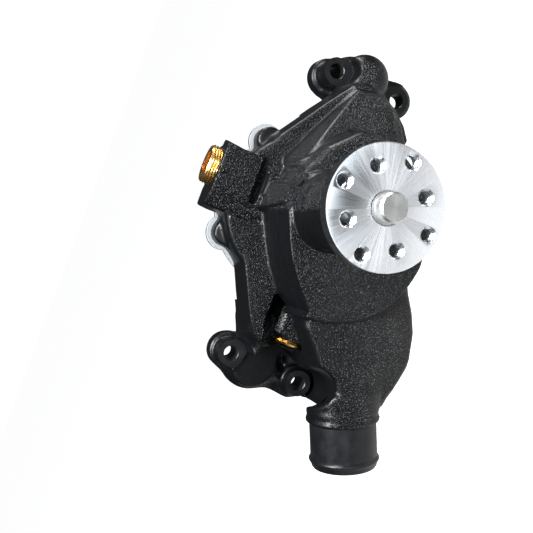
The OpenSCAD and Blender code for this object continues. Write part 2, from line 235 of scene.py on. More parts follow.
class Casting:
    """Grid of distances that shapes are blended into, meshed at the end."""

    def __init__(self, low, high, step):
        self.low, self.step = np.array(low, float), step
        count = np.ceil((np.array(high, float) - self.low) / step).astype(int) + 1
        self.field = np.full(count, 4 * step, np.float32)

    def window(self, low, high, margin):
        first = np.floor((np.array(low) - margin - self.low) / self.step).astype(int)
        last = np.ceil((np.array(high) + margin - self.low) / self.step).astype(int) + 1
        first, last = np.maximum(first, 0), np.minimum(last, self.field.shape)
        cut = tuple(slice(a, b) for a, b in zip(first, last))
        axes = [self.low[i] + self.step * np.arange(first[i], last[i], dtype=np.float32) for i in range(3)]
        return cut, np.meshgrid(*axes, indexing="ij")

    def add(self, shape, blend=3.0):
        distance, low, high = shape
        cut, (x, z, f) = self.window(low, high, blend + 4 * self.step)
        new, old = distance(x, z, f), self.field[cut]
        soft = np.maximum(blend - np.abs(old - new), 0)
        self.field[cut] = np.minimum(old, new) - soft * soft / (4 * blend)

    def take(self, shape, blend=1.5):
        distance, low, high = shape
        cut, (x, z, f) = self.window(low, high, blend + 4 * self.step)
        new, old = -distance(x, z, f), self.field[cut]
        soft = np.maximum(blend - np.abs(old - new), 0)
        self.field[cut] = np.maximum(old, new) + soft * soft / (4 * blend)

    def roughen(self, wave, height, seed):
        """Uneven surface of smooth random bumps, one bump about every wave."""
        rng = np.random.default_rng(seed)
        count = [int(n * self.step / wave) + 3 for n in self.field.shape]
        bumps = rng.standard_normal(count).astype(np.float32)
        for axis in range(3):
            at = np.arange(self.field.shape[axis]) * self.step / wave
            whole = at.astype(int)
            part = (at - whole).astype(np.float32)
            part = part * part * (3 - 2 * part)
            shape = [1, 1, 1]
            shape[axis] = -1
            part = part.reshape(shape)
            bumps = np.take(bumps, whole, axis) * (1 - part) + np.take(bumps, whole + 1, axis) * part
        self.field += height * bumps

    def mesh(self, name):
        reach = 3 * self.step
        grid = openvdb.FloatGrid(reach)
        grid.copyFromArray(np.clip(self.field, -reach, reach))
        points, triangles, quads = grid.convertToPolygons(isovalue=0.0, adaptivity=0.0)
        at = points * self.step + self.low
        world = np.column_stack([at[:, 0], -at[:, 2], at[:, 1]]) * MM
        made = bpy.data.meshes.new(name)
        made.from_pydata(world.tolist(), [], triangles.tolist() + quads.tolist())
        return made


# ---------------------------------------------------------------- mesh helpers
def mesh_object(name, made):
    made.validate()
    piece = bpy.data.objects.new(name, made)
    bpy.context.scene.collection.objects.link(piece)
    return piece


def turn_out(made):
    """Makes every face point outwards."""
    bm = bmesh.new()
    bm.from_mesh(made)
    bmesh.ops.recalc_face_normals(bm, faces=bm.faces)
    if bm.calc_volume(signed=True) < 0:
        bmesh.ops.reverse_faces(bm, faces=bm.faces)
    bm.to_mesh(made)
    bm.free()


def lathe(name, profile, start, direction, steps=96, material_index=0, wobble=None):
    """Solid of revolution. profile is (radius, height) in millimetres along direction from start."""
    along = Vector(direction).normalized()
    across = along.orthogonal().normalized()
    other = along.cross(across)
    bm = bmesh.new()
    rings = []
    for radius, height in profile:
        if radius < 1e-6:
            rings.append([bm.verts.new(Vector(start) + along * height * MM)])
            continue
        ring = []
        for i in range(steps):
            turn = 2 * math.pi * i / steps
            r = radius + (wobble(turn, height) if wobble else 0)
            spoke = across * math.cos(turn) + other * math.sin(turn)
            ring.append(bm.verts.new(Vector(start) + (along * height + spoke * r) * MM))
        rings.append(ring)
    for a, b in zip(rings, rings[1:] + rings[:1]):
        for i in range(steps):
            j = (i + 1) % steps
            if len(a) == 1 and len(b) == 1:
                break
            if len(a) == 1:
                bm.faces.new((a[0], b[i], b[j]))
            elif len(b) == 1:
                bm.faces.new((a[i], b[0], a[j]))
            else:
                bm.faces.new((a[i], b[i], b[j], a[j]))
    for face in bm.faces:
        face.material_index = material_index
    made = bpy.data.meshes.new(name)
    bm.to_mesh(made)
    bm.free()
    turn_out(made)
    return mesh_object(name, made)


FRONT = (0, -1, 0)


def bar(name, x, z, back, front, radius, material_index=1, steps=64, chamfer=0.0):
    """Cutter along the shaft direction, opening out at its front by a chamfer."""
    profile = [(0, 0), (radius, 0), (radius, front - back - chamfer), (radius + chamfer, front - back)]
    if not chamfer:
        profile = [(0, 0), (radius, 0), (radius, front - back)]
    profile.append((0, profile[-1][1]))
    return lathe(name, profile, place(x, z, back), FRONT, steps, material_index)


def combine(piece, other, operation):
    """Cuts other from piece, or adds it, and leaves only piece."""
    change = piece.modifiers.new("combine", "BOOLEAN")
    change.operation = operation
    change.solver = "MANIFOLD"
    change.object = other
    bpy.context.view_layer.update()
    evaluated = piece.evaluated_get(bpy.context.evaluated_depsgraph_get())
    result = bpy.data.meshes.new_from_object(evaluated)
    piece.modifiers.clear()
    old, piece.data = piece.data, result
    bpy.data.meshes.remove(old)
    bpy.data.objects.remove(other)


def paint(piece, *materials):
    for material in materials:
        piece.data.materials.append(material)
    return piece


def shade(piece, angle=35, by_material=False):
    """Smooth shading with sharp edges past an angle, or only around machined faces."""
    made = piece.data
    made.polygons.foreach_set("use_smooth", [True] * len(made.polygons))
    if not by_material:
        made.set_sharp_from_angle(angle=math.radians(angle))
        return
    bm = bmesh.new()
    bm.from_mesh(made)
    for edge in bm.edges:
        kinds = {f.material_index for f in edge.link_faces}
        if len(edge.link_faces) != 2 or len(kinds) > 1:
            edge.smooth = False
        elif kinds != {0}:
            edge.smooth = edge.calc_face_angle() < math.radians(angle)
    bm.to_mesh(made)
    bm.free()


# ---------------------------------------------------------------- materials
class Nodes:
    """Short way to write a material's nodes."""

    def __init__(self, name, **constants):
        self.material = bpy.data.materials.new(name)
        self.material.use_nodes = True
        self.tree = self.material.node_tree
        self.shader = self.tree.nodes["Principled BSDF"]
        for key, value in constants.items():
            self.shader.inputs[key.replace("_", " ")].default_value = value
        self.where = self.add("ShaderNodeTexCoord").outputs["Object"]

    def add(self, kind, inputs=None, **settings):
        node = self.tree.nodes.new(kind)
        for key, value in settings.items():
            setattr(node, key, value)
        for key, value in (inputs or {}).items():
            self.put(node.inputs[key], value)
        return node

    def put(self, socket, value):
        if isinstance(value, bpy.types.NodeSocket):
            self.tree.links.new(value, socket)
        else:
            socket.default_value = value

    def noise(self, scale, detail=3.0, rough=0.55, vector=None, distortion=0.0):
        node = self.add("ShaderNodeTexNoise", {"Scale": scale, "Detail": detail, "Roughness": rough,
            "Distortion": distortion, "Vector": vector or self.where})
        return node.outputs["Fac"]

    def spots(self, scale, vector=None):
        node = self.add("ShaderNodeTexVoronoi", {"Scale": scale, "Vector": vector or self.where})
        return node.outputs["Distance"]

    def remap(self, value, low, high, to_low=0.0, to_high=1.0):
        node = self.add("ShaderNodeMapRange", {"Value": value, "From Min": low, "From Max": high,
            "To Min": to_low, "To Max": to_high})
        return node.outputs["Result"]

    def math(self, operation, a, b=0.0):
        node = self.add("ShaderNodeMath", operation=operation)
        self.put(node.inputs[0], a)
        self.put(node.inputs[1], b)
        return node.outputs[0]

    def times(self, a, b):
        return self.math("MULTIPLY", a, b)

    def mix(self, share, a, b):
        node = self.add("ShaderNodeMix", data_type="RGBA")
        self.put(node.inputs["Factor"], share)
        self.put(node.inputs["A"], a)
        self.put(node.inputs["B"], b)
        return node.outputs["Result"]

    def bump(self, height, distance, strength=1.0, normal=None):
        node = self.add("ShaderNodeBump", {"Height": height, "Distance": distance, "Strength": strength})
        if normal is not None:
            self.put(node.inputs["Normal"], normal)
        return node.outputs["Normal"]

    def set(self, **sockets):
        for key, value in sockets.items():
            self.put(self.shader.inputs[key.replace("_", " ")], value)
        return self.material


def grey(value):
    return (value, value, value, 1.0)


def grain_share(n):
    """1 where the casting's grain is coarse: on front faces, above the lower levels of the feet and arms.
    There its crests also get painted highlights.
    """
    normal = n.add("ShaderNodeSeparateXYZ", {"Vector": n.add("ShaderNodeTexCoord").outputs["Normal"]})
    at = n.add("ShaderNodeSeparateXYZ", {"Vector": n.where})
    facing = n.remap(n.math("ABSOLUTE", normal.outputs["Y"]), 0.7, 0.92)
    height_f = n.times(at.outputs["Y"], -1.0)
    front = n.times(facing, n.remap(height_f, 40.5 * MM, 44.5 * MM))
    # Coarse too: walls that face up, in front of f = 56 and to the right of x = -9
    upward = n.remap(normal.outputs["Z"], 0.7, 0.9)
    rib_wall = n.times(upward, n.remap(height_f, 56 * MM, 58 * MM))
    rib_wall = n.times(rib_wall, n.remap(at.outputs["X"], -9 * MM, -6 * MM))
    return n.math("MAXIMUM", front, rib_wall)


def sand_grain(n):
    """Crowded crests in two sizes, with their cells shifted about so that they aren't round."""
    most = 0.8 * MM
    aside, upwards = n.times(n.noise(500), most), n.times(n.noise(530), most)
    shift = n.add("ShaderNodeCombineXYZ", {"X": aside, "Z": upwards})
    moved = n.add("ShaderNodeVectorMath", operation="ADD")
    n.put(moved.inputs[0], n.where)
    n.put(moved.inputs[1], shift.outputs[0])
    big = n.remap(n.spots(760, moved.outputs[0]), 0.12, 0.52, 1.0, 0.0)
    small = n.remap(n.spots(1300, moved.outputs[0]), 0.1, 0.5, 1.0, 0.0)
    return n.math("ADD", big, n.times(small, 0.5))


def casting_material():
    """Black paint over sand-cast iron, with coarse grain on its front faces and smoother side walls, and
    painted highlights: pale grey on the coarse grain's crests.
    """
    n = Nodes("black_cast_paint", Specular_IOR_Level=0.26)
    black = (0.0018, 0.0021, 0.0026, 1)
    dusty = (0.0045, 0.0051, 0.006, 1)
    glint_grey = (0.19, 0.215, 0.235, 1)
    coarse = grain_share(n)
    texture = sand_grain(n)
    patch = n.remap(n.noise(45, 2), 0.3, 0.62, 0.75, 1.0)
    weight = n.times(n.remap(coarse, 0, 1, 0.06, 1.0), patch)
    broad = n.bump(n.noise(120, 3), 0.6 * MM, 0.25)
    fine = n.bump(n.times(texture, weight), 1 * MM, 1.0, broad)
    # Painted highlight: the coarse grain's crests are coloured pale grey as glints of light.
    painted_glint = n.times(n.remap(texture, 0.78, 1.28), coarse)
    colour = n.mix(painted_glint, black, glint_grey)
    colour = n.mix(n.remap(n.noise(16, 3), 0.45, 0.75, 0, 0.25), colour, dusty)
    rough = n.math("ADD", n.remap(n.noise(260, 3), 0.3, 0.7, 0.3, 0.38), n.times(coarse, -0.03))
    return n.set(Base_Color=colour, Roughness=rough, Normal=fine)


def satin_material():
    """The same black paint over a machined face: satin, with faint cutter marks under it."""
    n = Nodes("black_satin_paint", Specular_IOR_Level=0.25)
    marks = n.noise(900, 4, 0.6)
    dust = n.noise(90, 4)
    colour = n.mix(n.remap(dust, 0.4, 0.7), (0.004, 0.0044, 0.0052, 1), (0.009, 0.0098, 0.011, 1))
    rough = n.remap(n.noise(300, 3), 0.3, 0.7, 0.26, 0.38)
    return n.set(Base_Color=colour, Roughness=rough, Normal=n.bump(marks, 0.0002, 0.5))


def bare_iron_material():
    """Milled grey iron on the faces that seal against the block."""
    n = Nodes("bare_iron", Metallic=1.0)
    swirl = n.add("ShaderNodeTexWave", {"Scale": 260.0, "Distortion": 1.5, "Detail": 2.0, "Vector": n.where},
        wave_type="BANDS", bands_direction="DIAGONAL").outputs["Fac"]
    colour = n.mix(n.remap(n.noise(140, 4), 0.35, 0.7), grey(0.30), (0.42, 0.42, 0.41, 1))
    rough = n.remap(n.noise(500, 3), 0.3, 0.7, 0.34, 0.5)
    return n.set(Base_Color=colour, Roughness=rough, Normal=n.bump(swirl, 0.0001, 0.3))


def turned_metal(name, colour_a, colour_b, rough, anisotropic, rings=900.0, painted_streaks=0.5):
    """Metal faced on a lathe: fine rings round the shaft axis, and faint rays that cross them. The rays are
    painted into its colour as streaks of reflected light.
    """
    n = Nodes(name, Metallic=1.0, Anisotropic=anisotropic)
    part = n.add("ShaderNodeSeparateXYZ", {"Vector": n.where})
    x, z = part.outputs["X"], part.outputs["Z"]
    radius = n.math("SQRT", n.math("ADD", n.times(x, x), n.times(z, z)))
    angle = n.math("ARCTAN2", z, x)
    ring_at = n.add("ShaderNodeCombineXYZ", {"X": radius, "Y": n.times(angle, 0.002)}).outputs[0]
    ray_at = n.add("ShaderNodeCombineXYZ", {"X": angle, "Y": radius}).outputs[0]
    ring = n.noise(rings * 4, 2, 0.5, ring_at)
    ray = n.noise(14.0, 4, 0.65, ray_at)
    # Painted reflection: the rays lighten and darken the colour as streaks of light on the turned face. The
    # rings are the metal's own tone.
    rings_and_painted_rays = n.math("ADD", n.times(ring, 1 - painted_streaks), n.times(ray, painted_streaks))
    colour = n.mix(n.remap(rings_and_painted_rays, 0.35, 0.65), colour_a, colour_b)
    roughness = n.remap(ray, 0.3, 0.7, rough * 0.8, rough * 1.25)
    tangent = n.add("ShaderNodeTangent", direction_type="RADIAL", axis="Y").outputs[0]
    return n.set(Base_Color=colour, Roughness=roughness, Tangent=tangent, Normal=n.bump(ring, 0.00004, 0.35))


def brushed_metal(name, colour_a, colour_b, rough, scale):
    """Metal with fine speckle and uneven gloss."""
    n = Nodes(name, Metallic=1.0)
    cloud = n.noise(scale / 6, 4)
    speck = n.noise(scale * 3, 3, 0.6)
    colour = n.mix(n.remap(cloud, 0.35, 0.65), colour_a, colour_b)
    roughness = n.remap(n.noise(scale, 3), 0.3, 0.7, rough * 0.8, rough * 1.25)
    return n.set(Base_Color=colour, Roughness=roughness, Normal=n.bump(speck, 0.00008, 0.3))


def paper_material():
    """Grey compressed fibre gasket paper."""
    n = Nodes("gasket_paper", Specular_IOR_Level=0.25)
    fibre = n.noise(1400, 4, 0.7, distortion=0.6)
    fleck = n.remap(n.spots(900), 0.05, 0.3)
    colour = n.mix(fibre, (0.16, 0.175, 0.185, 1), (0.30, 0.315, 0.325, 1))
    colour = n.mix(n.math("SUBTRACT", 1.0, fleck), colour, (0.36, 0.37, 0.38, 1))
    rough = n.remap(fibre, 0.3, 0.7, 0.7, 0.9)
    return n.set(Base_Color=colour, Roughness=rough, Normal=n.bump(fibre, 0.00012, 0.6))


def dull_material(name, colour_a, colour_b, rough, scale=700.0, level=0.4):
    """Rubber, carbon and ceramic: dense, dull and slightly uneven."""
    n = Nodes(name, Specular_IOR_Level=level)
    cloud = n.noise(scale / 8, 4)
    speck = n.noise(scale * 2, 3)
    colour = n.mix(n.remap(cloud, 0.35, 0.65), colour_a, colour_b)
    return n.set(Base_Color=colour, Roughness=n.remap(speck, 0.3, 0.7, rough * 0.85, min(1, rough * 1.15)),
        Normal=n.bump(speck, 0.00008, 0.4))


BLACK_CAST = casting_material()
BLACK_SATIN = satin_material()
BARE_IRON = bare_iron_material()
HUB_METAL = turned_metal("faced_hub_metal", (0.76, 0.78, 0.81, 1), (0.90, 0.92, 0.95, 1), 0.28, 0.8)
SHAFT_STEEL = turned_metal("ground_shaft_steel", grey(0.50), (0.66, 0.66, 0.65, 1), 0.30, 0.5,
    rings=600.0, painted_streaks=0.3)
ZINC = brushed_metal("zinc_plate", (0.80, 0.84, 0.90, 1), (0.90, 0.94, 0.99, 1), 0.34, 300.0)
ZINC_SCREW = brushed_metal("zinc_screw", (0.60, 0.60, 0.58, 1), (0.75, 0.74, 0.70, 1), 0.30, 500.0)
BRASS = brushed_metal("brass", (0.78, 0.46, 0.14, 1), (0.90, 0.60, 0.22, 1), 0.24, 500.0)
PAPER = paper_material()
SPRING_STEEL = brushed_metal("spring_steel", (0.55, 0.55, 0.56, 1), grey(0.7), 0.25, 800.0)
BEARING_STEEL = brushed_metal("bearing_steel", (0.60, 0.61, 0.63, 1), (0.74, 0.75, 0.77, 1), 0.14, 900.0)
HOLE_METAL = brushed_metal("tapped_hole_metal", (0.56, 0.58, 0.60, 1), (0.70, 0.72, 0.74, 1), 0.30, 700.0)
CAGE = brushed_metal("bearing_cage", (0.56, 0.36, 0.16, 1), (0.66, 0.45, 0.22, 1), 0.32, 600.0)
RUBBER = dull_material("seal_rubber", (0.012, 0.012, 0.012, 1), (0.022, 0.022, 0.023, 1), 0.55)
CARBON = dull_material("carbon", (0.03, 0.03, 0.032, 1), (0.05, 0.05, 0.052, 1), 0.4)
CERAMIC = dull_material("ceramic", (0.80, 0.77, 0.70, 1), (0.88, 0.86, 0.80, 1), 0.25, 900.0, 0.5)


# ---------------------------------------------------------------- the casting
def arc(radius_from, radius_to, turn_from, turn_to, count):
    """Points on an arc round the shaft axis, its radius changing evenly."""
    points = []
    for i in range(count + 1):
        k = i / count
        turn = math.radians(turn_from + k * (turn_to - turn_from))
        radius = radius_from + k * (radius_to - radius_from)
        points.append((radius * math.cos(turn), radius * math.sin(turn)))
    return points


def neck_point(along, aside=0.0, f=NECK_F):
    """Point near the hose neck's axis: aside is measured towards +x and -z."""
    cos, sin = math.cos(NECK_ANGLE), math.sin(NECK_ANGLE)
    return (NECK_START[0] - along * cos + aside * sin, NECK_START[1] - along * sin - aside * cos, f)


# Plan outlines as (x, z) points
ROOF_EDGE = [(-9, 26), (-25, 18.5), (-36, 12.5), (-48, 3), (-57, -5), (-62, -10)]
BULB_LEFT = [(-72, -14), (-84, -25), (-93, -32), (-95, -37), (-98, -43), (-104, -47), (-110, -44),
    (-117, -44)]
BULB_RIGHT = [(-103, -87), (-90, -91), (-73, -94), (-50, -90), (-38, -84), (-27, -76), (-18, -71),
    (-12, -68)]
CHAMBER_RIGHT = [(20, -66), (46, -50), (58, -26), (56, -4), (38, 14), (14, 26)]
HEATER_FLANK = [(-5, 71), (-5, 40), (2, 33), (0, 28), (-9, 29), (-17, 26), (-18, 38), (-18.5, 58),
    (-17.5, 71)]
ARM_FRONT = 54
DRIVER_FRONT = 50
# Metal cast on behind the faces that are milled later
REAR_SPARE = 4
FOOT_SPARE = 3


def roof(x, z):
    """Front surface of the inlet chamber, a shallow cone round the shaft."""
    return 102 - 0.04 * (np.hypot(x, z) - 24)


def bulb_top(x, z):
    """Front surface of the inlet bulb, slightly crowned across the neck's axis."""
    dx, dz = x - NECK_START[0], z - NECK_START[1]
    aside = dx * math.sin(NECK_ANGLE) - dz * math.cos(NECK_ANGLE)
    along = -dx * math.cos(NECK_ANGLE) - dz * math.sin(NECK_ANGLE)
    crown = 0.015 * np.clip(along / 25, 0, 1) * np.minimum(np.abs(aside), 23) ** 2
    return 97.5 - 0.0048 * (aside - 3) ** 2 - crown


def hood_top(x, z):
    """Front surface of the driver arm's hood, rising towards the shaft."""
    return np.clip(DRIVER_FRONT + 2 + 0.5 * (98 - np.hypot(x, z)), DRIVER_FRONT, 84)


def arm_top(x, z):
    """Front surface of the passenger arm, which leans back a little above z = 5."""
    return ARM_FRONT - 0.1 * np.maximum(z - 5, 0)


def bypass_top(x, z):
    """Front surface of the bypass body, which slopes up from its top edge to a flat."""
    return np.minimum(47.5, 40.5 - 0.9 * (z + 8.5))


def flank_floor(x, z):
    """Slope that falls from the heater block's edge to the end of the passenger arm."""
    return 55 + 0.75 * np.minimum(x + 6.5, 0)


def rib_top(x, z):
    """Front edge of the rib above the snout, which falls towards the heater block."""
    return np.minimum(91.5 + 2.1 * (28 - z), 114)


def add_rear_body(c):
    c.add(drum((0, 0, REAR_FACE - REAR_SPARE), (0, 0, ARM_FRONT - 3), COVER_R - 2, edge=5))
    for x, z in SCREW_SPOTS:
        c.add(drum((x, z, REAR_FACE - REAR_SPARE), (x, z, 35), 9.6, 9.0, edge=1.5), blend=4)
        c.add(rod((x * 0.8, z * 0.8, 30), (x * 0.95, z * 0.95, 28), 7), blend=3)


def add_feet(c):
    for side in (-1, 1):
        port = PORTS[side]
        top = (side * UPPER_BOLT[0], UPPER_BOLT[1])
        low = (side * LOWER_BOLT[0], LOWER_BOLT[1])
        c.add(drum((*port, -FOOT_SPARE), (*port, FOOT_T), 21.5, 21, edge=1.2), blend=2)
        for spot in (top, low):
            c.add(drum((*spot, -FOOT_SPARE), (*spot, FOOT_T), 13.5, 13, edge=1.2), blend=6)
        flange = [(port[0] - 15, port[1]), (top[0] - 11, top[1]), (top[0] + 11, top[1]),
            (port[0] + 15, port[1]), (low[0] + 12, low[1]), (low[0] - 12, low[1])]
        c.add(plate(flange, back=-FOOT_SPARE, front=FOOT_T, edge=1.2, draft=0.05), blend=5)
        c.add(drum((*port, 2), (*port, 42), 19, 16, edge=11), blend=4)
        c.add(rod((*top, FOOT_T), (port[0], port[1] + 6, FOOT_T + 4), 6), blend=5)
        c.add(rod((*low, FOOT_T - 3), (port[0], port[1] - 12, FOOT_T + 2), 7), blend=6)


def add_passenger_arm(c):
    arm = [(-12, 45), (-18, 40), (-41, 28.5), (-64, 17.5), (-81, 9), (-88, 4), (-92, -2), (-86, -3),
        (-76, 0), (-65, -0.5), (-54, 0), (-30, -10), (-6, 10)]
    c.add(plate(arm, back=17, front=arm_top, edge=1.3, draft=0.03), blend=2)
    web = [(-80, 8), (-95, 4), (-104, -6), (-104, -26), (-90, -36), (-62, -44), (-20, -20)]
    c.add(plate(web, back=15, front=30, edge=4, draft=0.1), blend=5)
    c.add(rod((-80, -3, 32), (-104, -12, 25), 12, 14), blend=6)


def add_bypass_port(c):
    mouth = (BYPASS_FACE, BYPASS_Z, BYPASS_F)
    c.add(drum(mouth, (-46, BYPASS_Z + 3, BYPASS_F + 6), 16, 12, edge=1.2), blend=3)
    body = [(-52, -6), (-80, -8), (-82, -12), (-82, -38), (-62, -42), (-50, -30)]
    c.add(plate(body, back=20, front=bypass_top, edge=1.2, draft=0.06), blend=2)
    shelf = [(-50, 4), (-84, 4), (-84, -12), (-50, -12)]
    c.add(plate(shelf, back=20, front=36, edge=1), blend=2)
    c.add(rod((-84, -40, 18), (-103, -50, 12), 9, 8), blend=6)
    c.add(rod((-80, -14, 24), (-96, -18, 24), 9, 9), blend=5)


def add_chamber(c):
    belly = [(-8, 26), (-25, 18), (-39, 10), (-55, -2), (-59, -10), (-60, -20), (-68, -30), (-78, -38),
        (-85, -50), (-86, -66), (-78, -78), (-50, -82), (-20, -64), (20, -60), (46, -48), (56, -26),
        (56, -4), (38, 14), (14, 26)]
    c.add(plate(belly, back=34, front=72, edge=5, draft=0.05), blend=4)
    bulb = ROOF_EDGE + BULB_LEFT + BULB_RIGHT + CHAMBER_RIGHT
    c.add(plate(bulb, back=66, front=bulb_top, edge=5, draft=0.03), blend=6)
    lid = ROOF_EDGE + arc(66, 72, 187, 228, 8) + arc(72, 71, 230, 262, 5) + [(14, -68)]
    lid += arc(68, 60, 285, 330, 6) + [(40, -10), (26, 6), (16, 22)]
    c.add(plate(lid, back=60, front=roof, edge=1.6, draft=0.04), blend=1.2)
    # Thin parting rib along the chamber's wall
    seam = [(-13, 25, 79), (-24, 19.5, 80), (-37, 12.5, 81), (-49, 3, 83), (-60, -7, 87)]
    for start, end in zip(seam, seam[1:]):
        c.add(rod(start, end, 1.0), blend=1.5)


def add_neck_root(c):
    collar_end = neck_point(COLLAR_AT + 8.5)
    c.add(drum(neck_point(18), neck_point(COLLAR_AT + 4), NECK_R + 1.2, NECK_R + 0.8, edge=2), blend=4)
    under = [(-80, -34), (-94, -40), (-120, -52), (-121, -62), (-114, -80), (-98, -84), (-80, -76)]
    c.add(plate(under, back=9, front=74, edge=4), blend=5)
    c.add(drum(neck_point(COLLAR_AT), collar_end, NECK_R + 0.8, edge=1), blend=3)
    c.add(drum(neck_point(COLLAR_AT + 5.5), collar_end, NECK_R + 2.2, edge=1.2), blend=2)


def clear_lower_bolt(c):
    """Room beside and above the lower passenger boss, for its bolt and a spanner."""
    pocket = [(-90, -20), (-91, -30), (-93, -36), (-97, -44), (-104, -46), (-115, -42), (-124, -41),
        (-140, -38), (-140, 0), (-112, -2), (-94, -10)]
    c.take(plate(pocket, back=19, front=66, edge=1), blend=2)
    x, z = -LOWER_BOLT[0], LOWER_BOLT[1]
    c.take(drum((x, z, 14.5), (x, z, 54), 13.5, edge=2), blend=2)
    c.take(drum((x + 1, z + 1, 40), (x + 8, z + 19, 100), 13, 11.5, edge=2), blend=2)


def add_snout(c):
    c.add(drum((0, 0, 60), (0, 0, SNOUT_FRONT + 3), SNOUT_R, edge=1), blend=5)
    c.add(drum((0, 0, 80), (0, 0, 112), 25.5, 23, edge=1.2), blend=3)


def add_driver_arm(c):
    base = [(8, 44), (43, 34), (60, 22), (77, 10.5), (95, -3), (99, -12), (98, -26), (92, -38), (84, -48),
        (76, -54), (44, -48), (0, -20)]
    c.add(plate(base, back=16, front=DRIVER_FRONT, edge=2, draft=0.06), blend=3)
    hood = [(92, -6), (62, 8), (29, 22), (20, 4), (30, -44), (66, -52), (82, -44), (92, -33), (97, -20)]
    c.add(plate(hood, back=30, front=hood_top, edge=2, draft=0.15), blend=2)
    # Ribs along the hood's upper edge
    c.add(rod((92, -5, 50), (30, 21, 54), 1.6, 2.0), blend=1.5)
    c.add(rod((90, -8, 53), (31, 15, 70), 1.0, 1.3), blend=1.2)
    # Three low ridges that lie on the hood
    for shift in (0, 3.2, 6.4):
        outer = (86 + shift * 0.4, -27 - shift)
        inner = (66 + shift * 0.6, -34 - shift)
        ridge = rod((*outer, hood_top(*outer) + 0.2), (*inner, hood_top(*inner) + 0.2), 1.2, 1.5)
        c.add(ridge, blend=1.2)
    c.add(rod((90, -12, 32), (108, -17, 27), 15, 14), blend=6)
    # Steps round the foot of the snout
    for radius, front in ((35.5, 86), (29, 94)):
        fan = [(0, 0)] + arc(radius, radius, -75, 48, 14)
        c.add(plate(fan, back=60, front=front, edge=1.3, draft=0.05), blend=1.5)


def add_heater_port(c):
    x, f = HEATER_X - 4, 34
    c.add(drum((x, 16, f), (x, HEATER_TOP, f), PLUG_R + 6.5, edge=1.2), blend=3)
    c.take(plate(HEATER_FLANK, back=flank_floor, front=66, edge=0.5), blend=1)
    c.add(plate(HEATER_FLANK, back=20, front=flank_floor, edge=0.5), blend=1)
    c.add(block((-6.5, 39.5, 30), (24, HEATER_TOP, 55.5), edge=0.8), blend=0.8)
    c.add(block((0, 12, 30), (16, 33, 58.5), edge=0.8), blend=1.0)
    wall = [(-7, 30), (-7, 42), (-6, 70), (22, 70), (20, 40), (18, 18), (8, 12), (-1, 18)]
    c.add(plate(wall, back=39, front=53, edge=2, draft=0.5), blend=3)
    # The mouth is faced flat, and a groove runs between the block and the panel under it
    c.take(block((-40, HEATER_TOP, 0), (50, HEATER_TOP + 40, 90), edge=0.5), blend=1.2)
    c.take(block((-7, 34.5, 50.5), (25, 39.3, 80), edge=0.4), blend=0.8)
    rib = [(-4, 2), (8, 2), (8, 28), (-4, 28)]
    c.add(plate(rib, back=44, front=rib_top, edge=0.8, draft=0.12), blend=1.0)


# Step of the casting's grid and the room left round the casting, in millimetres
GRID_STEP = 1.15
GRID_ROOM = 4


def sand_casting():
    c = Casting(HOUSING_LOW - GRID_ROOM, HOUSING_HIGH + GRID_ROOM, GRID_STEP)
    add_feet(c)
    add_rear_body(c)
    add_passenger_arm(c)
    add_driver_arm(c)
    add_bypass_port(c)
    add_chamber(c)
    add_neck_root(c)
    add_snout(c)
    add_heater_port(c)
    clear_lower_bolt(c)
    for x, z, height in BOSSES:
        c.take(drum((x, z, height + 1), (x, z, height + 28), BOSS_R + 1.6, edge=2), blend=1.5)
        c.add(drum((x, z, -FOOT_SPARE), (x, z, height + 1), BOSS_R, edge=0.8), blend=2)
    c.roughen(wave=11.0, height=0.06, seed=11)
    c.roughen(wave=3.4, height=0.02, seed=23)
    made = c.mesh("housing_casting")
    turn_out(made)
    return paint(mesh_object("housing_casting", made), BLACK_CAST, BLACK_SATIN, BARE_IRON)


# Material slots of the casting's cut faces, in the order that sand_casting paints it
PAINTED = 1
MILLED = 2


def slab_cutter(name, low_f, high_f, material_index):
    """Flat cutter that mills everything between two heights."""
    beyond = 12
    low, high = HOUSING_LOW - beyond, HOUSING_HIGH + beyond
    bm = bmesh.new()
    bmesh.ops.create_cube(bm, size=1)
    for v in bm.verts:
        v.co = place(low[0] if v.co.x < 0 else high[0], low[1] if v.co.z < 0 else high[1],
            low_f if v.co.y > 0 else high_f)
    for face in bm.faces:
        face.material_index = material_index
    made = bpy.data.meshes.new(name)
    bm.to_mesh(made)
    bm.free()
    turn_out(made)
    return mesh_object(name, made)


def neck_tube():
    """Hose neck with its machined outside and rolled bead."""
    root = COLLAR_AT + 3
    profile = [(0, root), (NECK_R - 1, root), (NECK_R, COLLAR_AT + 5), (NECK_R, NECK_LEN - 9)]
    bead_start, bead_length, bead_rise, steps = NECK_LEN - 7.5, 4.2, 1.2, 8
    for i in range(steps + 1):
        rise = bead_rise * math.sin(math.pi * i / steps)
        profile.append((NECK_R + rise, bead_start + bead_length * i / steps))
    profile += [(NECK_R - 0.5, NECK_LEN - 1.2), (NECK_R - 1.3, NECK_LEN), (0, NECK_LEN)]
    return lathe("neck", profile, place(*neck_point(0)), NECK_WAY, 128, PAINTED)


def neck_bores():
    """The neck's bore, and the narrower passage from it towards the impeller's eye."""
    bore = [(0, 22), (10, 23), (13, 26), (NECK_BORE_R, 33), (NECK_BORE_R, NECK_LEN - 1.4),
        (NECK_BORE_R + 3, NECK_LEN + 2), (0, NECK_LEN + 2)]
    inner, outer = place(*neck_point(-12, 15, 74)), place(*neck_point(27, 4))
    length = (outer - inner).length / MM
    passage = [(0, 0), (PASSAGE_R, 1), (PASSAGE_R, length), (0, length)]
    return [lathe("bore", bore, place(*neck_point(0)), NECK_WAY, 96, PAINTED),
        lathe("inner_bore", passage, inner, outer - inner, 64, PAINTED)]


